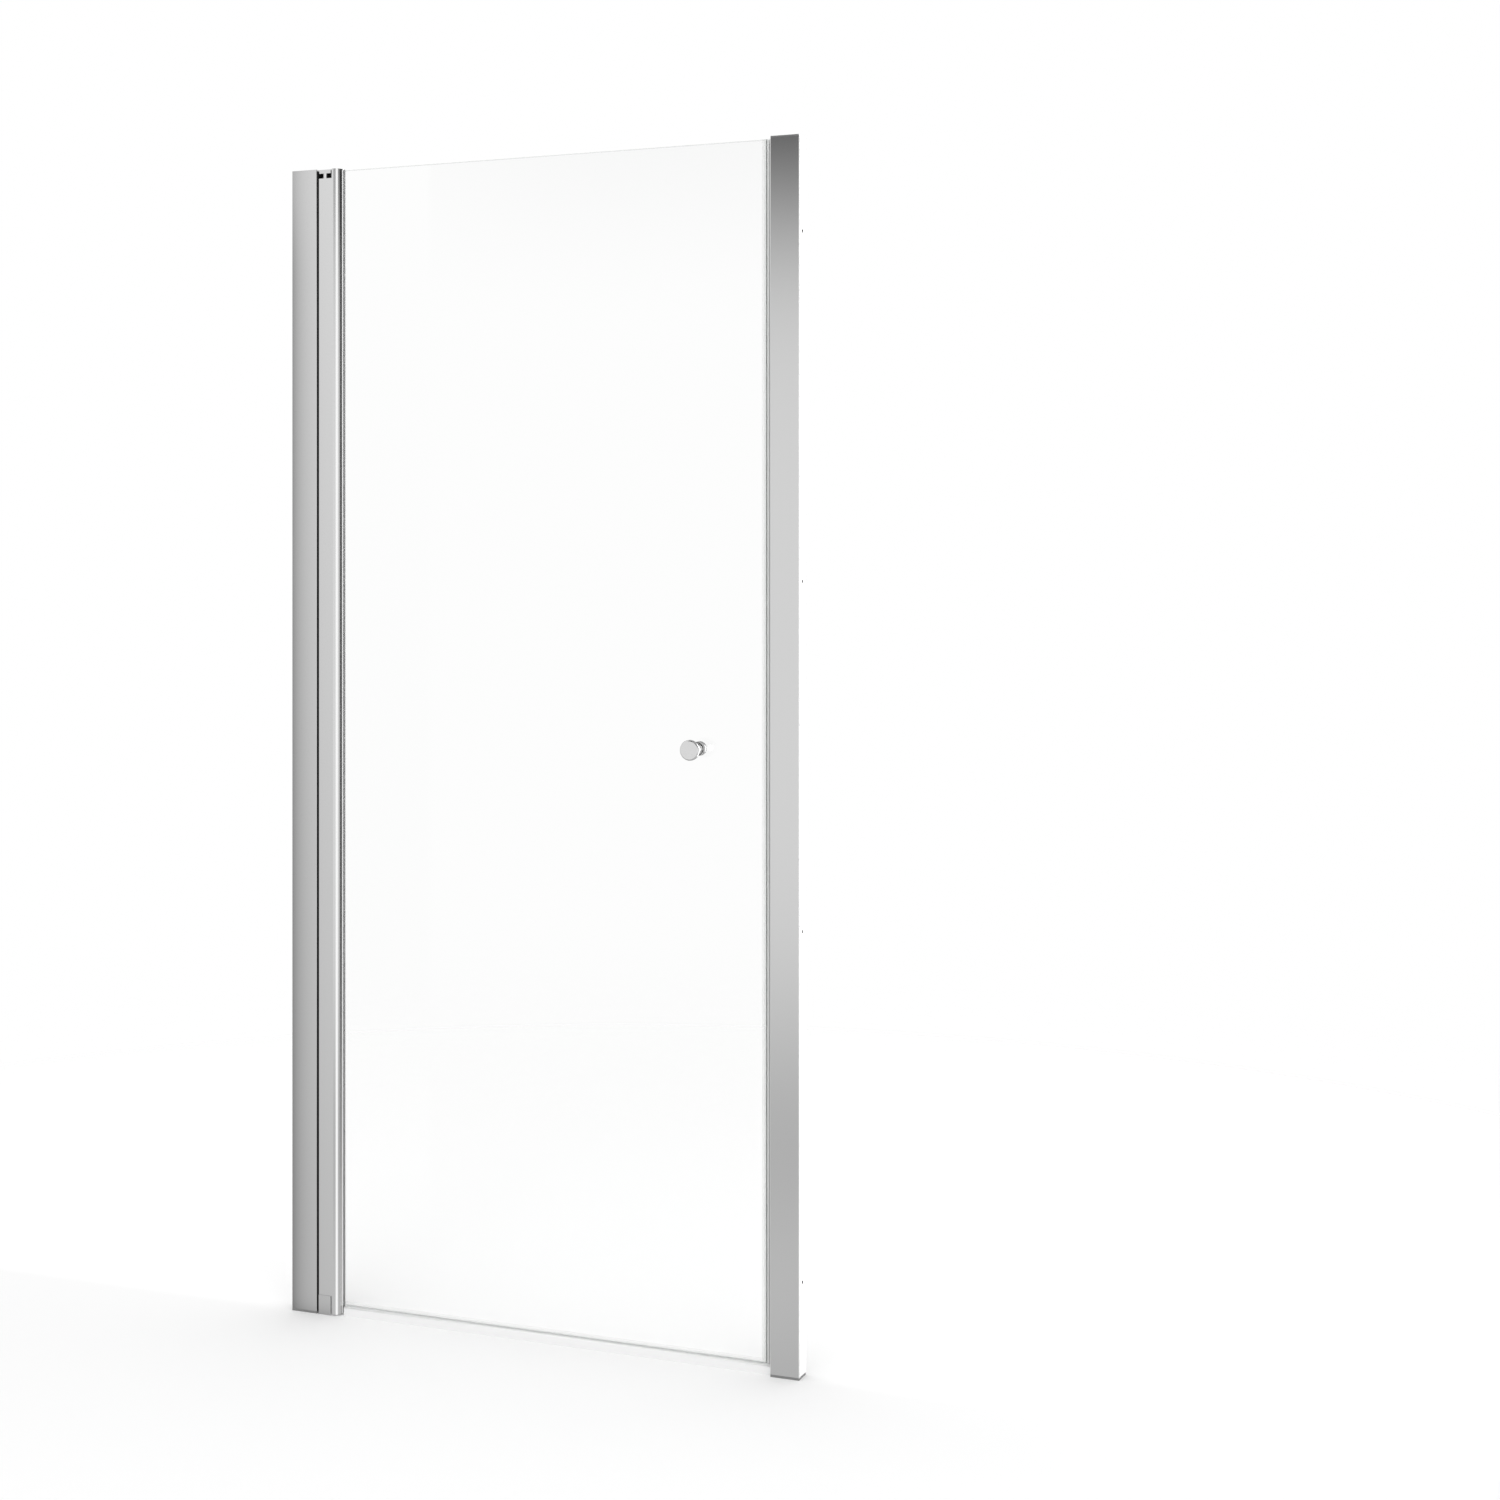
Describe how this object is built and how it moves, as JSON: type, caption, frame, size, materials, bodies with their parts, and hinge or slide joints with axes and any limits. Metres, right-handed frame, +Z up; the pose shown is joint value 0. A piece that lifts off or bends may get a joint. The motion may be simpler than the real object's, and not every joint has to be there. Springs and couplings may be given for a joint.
{
  "type": "shower door",
  "caption": "Clear glass shower door on top and bottom pivots between two satin aluminium wall profiles, with a round knob, magnetic strike strip and low threshold.",
  "frame": {"origin": "on the floor, midway between the two walls and midway in the overall depth", "axes": "+X from the hinge wall to the strike wall as seen from outside, +Y into the shower, +Z up"},
  "size_m": [0.926, 0.05, 1.95],
  "materials": {
    "mill_aluminium": "plain extruded",
    "jamb_aluminium": "satin silver anodised",
    "stile_aluminium": "satin silver anodised",
    "screw_steel": "plain stainless",
    "cap_plastic": "satin silver grey",
    "black_rubber": "matt",
    "foot_plastic": "dark silver grey",
    "cast_bracket": "satin silver paint on cast zinc",
    "pin_steel": "turned stainless",
    "pale_plastic": "smooth extruded",
    "white_plastic": "smooth extruded",
    "magnet_rubber": "magnet strip in a pale jacket",
    "plug_plastic": "black, moulded",
    "bush_plastic": "smooth moulded",
    "clear_glass": "clear, polished edges",
    "clear_plastic": "clear soft extruded plastic",
    "knob_metal": "polished"
  },
  "bodies": {
    "wall_frame": {"hinge_wall_channel": "mill_aluminium", "hinge_jamb": "jamb_aluminium", "hinge_jamb_screws": "screw_steel", "hinge_jamb_top_cap": "cap_plastic", "hinge_jamb_bottom_cap": "foot_plastic", "hinge_gap_seal": "black_rubber", "top_pivot_bracket": "cast_bracket", "bottom_pivot_block": "cast_bracket", "top_pivot_pin": "pin_steel", "bottom_pivot_pin": "pin_steel", "bracket_screws": "screw_steel", "strike_wall_channel": "mill_aluminium", "strike_jamb": "jamb_aluminium", "strike_jamb_screws": "screw_steel", "strike_jamb_top_cap": "cap_plastic", "strike_jamb_bottom_cap": "foot_plastic", "strike_magnet_carrier": "pale_plastic", "strike_magnet": "magnet_rubber", "threshold_strip": "white_plastic"},
    "door_leaf": {"hinge_stile": "stile_aluminium", "stile_top_plug": "plug_plastic", "stile_bottom_plug": "plug_plastic", "stile_plug_screws": "screw_steel", "top_pivot_bush": "bush_plastic", "bottom_pivot_bush": "bush_plastic", "stile_nose_top_cap": "cap_plastic", "stile_nose_bottom_cap": "cap_plastic", "glazing_gasket": "clear_plastic", "glass_pane": "clear_glass", "edge_seal": "clear_plastic", "edge_magnet": "magnet_rubber", "bottom_seal": "clear_plastic", "outer_knob": "knob_metal", "outer_knob_washer": "black_rubber", "knob_sleeve": "bush_plastic", "knob_stud": "screw_steel", "inner_knob_washer": "bush_plastic", "inner_knob_cap": "knob_metal"}
  },
  "joints": [
    {"name": "door_swing", "type": "hinge", "parent": "wall_frame", "child": "door_leaf", "pos_m": [-0.4013, 0.002, 0], "axis": [0, 0, -1], "range_deg": [0, 90]}
  ]
}
